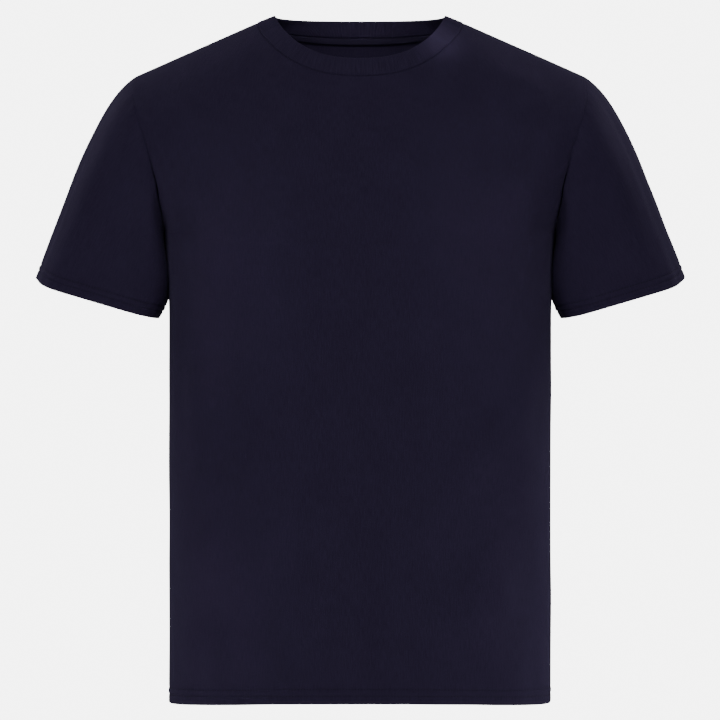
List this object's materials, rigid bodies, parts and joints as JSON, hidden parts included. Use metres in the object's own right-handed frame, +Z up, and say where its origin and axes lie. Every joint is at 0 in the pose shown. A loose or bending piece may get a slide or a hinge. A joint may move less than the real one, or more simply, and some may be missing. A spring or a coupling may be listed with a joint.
{
  "type": "crew neck t-shirt",
  "caption": "Short sleeve crew neck t-shirt in plain dark navy jersey, hollow and filled out as if worn.",
  "frame": {"origin": "midway between the neck ends of the two shoulder seams, where the wearer's shoulders carry the garment", "axes": "+Z up, +Y towards the back of the garment and -Y out of its front, +X towards the wearer's left sleeve"},
  "size_m": [0.669, 0.238, 0.7058],
  "materials": {
    "jersey": "plain cotton single jersey, dark navy, matt with a faint nap",
    "rib": "cotton 1x1 rib, dark navy, matt",
    "tape": "narrow twill tape, dark navy, matt"
  },
  "bodies": {
    "root": {"front_panel": "jersey", "back_panel": "jersey", "sleeve_left": "jersey", "sleeve_right": "jersey", "collar_band": "rib", "neck_tape": "tape"}
  },
  "joints": []
}
